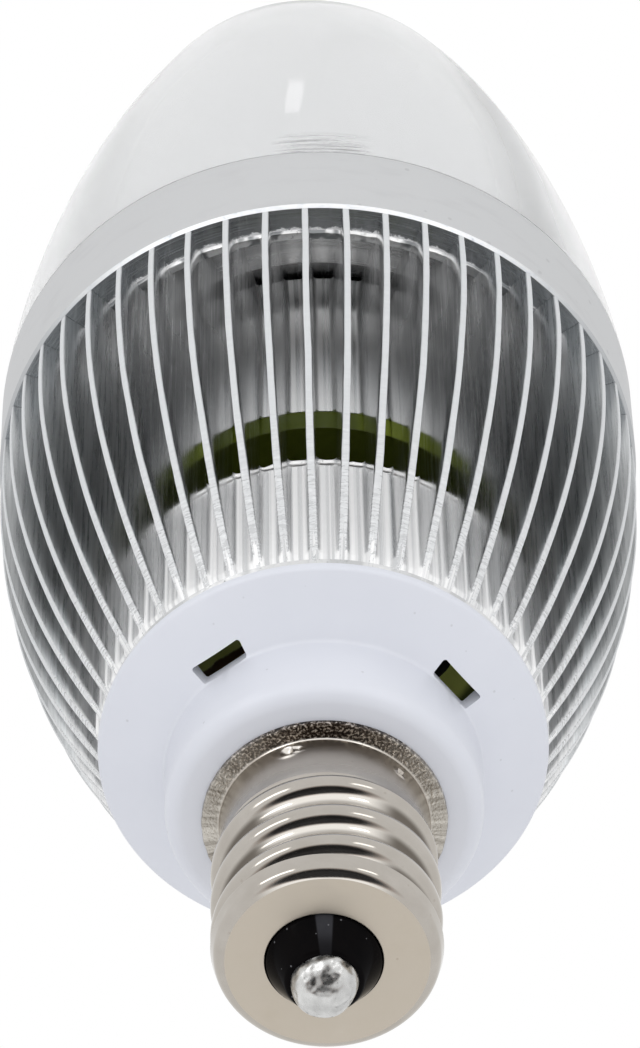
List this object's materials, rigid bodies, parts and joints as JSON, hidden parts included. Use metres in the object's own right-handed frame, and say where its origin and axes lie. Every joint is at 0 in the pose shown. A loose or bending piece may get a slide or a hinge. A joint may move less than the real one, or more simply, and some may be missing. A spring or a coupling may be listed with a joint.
{
  "type": "candle bulb",
  "caption": "Candle bulb with a small screw cap, a white vented housing, a finned aluminium heat sink and a clear pointed globe.",
  "frame": {"origin": "on the bulb's axis, on the plane where the cap's rim seats against the white housing", "axes": "+Z along the axis towards the globe's tip; the screw cap points down, along -Z"},
  "size_m": [0.0356, 0.0356, 0.0927],
  "materials": {
    "nickel": "nickel plated, bright",
    "black_glass": "gloss",
    "solder": "dull bright",
    "white_plastic": "satin",
    "aluminium": "extruded and turned",
    "clear_plastic": "clear",
    "white_mask": "satin",
    "green_board": "satin",
    "emitter_body": "matt",
    "clear_silicone": "clear",
    "steel": "zinc plated",
    "black_sleeve": "gloss",
    "ferrite": "matt",
    "yellow_tape": "satin",
    "black_resin": "matt",
    "red_wire": "satin",
    "black_wire": "satin",
    "grey_resistor": "matt"
  },
  "bodies": {
    "root": {"screw_shell": "nickel", "insulator": "black_glass", "centre_contact": "solder", "base_housing": "white_plastic", "heat_sink": "aluminium", "lamp_plate": "aluminium", "globe": "clear_plastic", "lamp_board": "white_mask", "board_screws": "steel", "driver_board": "green_board", "input_capacitor": "black_sleeve", "output_capacitor": "black_sleeve", "transformer_core": "ferrite", "transformer_coil": "yellow_tape", "driver_chip": "black_resin", "bridge_rectifier": "black_resin", "fuse_resistor": "grey_resistor", "live_lead": "red_wire", "neutral_lead": "black_wire", "lamp_lead_positive": "red_wire", "lamp_lead_negative": "black_wire", "emitter_1": "emitter_body", "lens_1": "clear_silicone", "emitter_2": "emitter_body", "lens_2": "clear_silicone", "emitter_3": "emitter_body", "lens_3": "clear_silicone"}
  },
  "joints": []
}
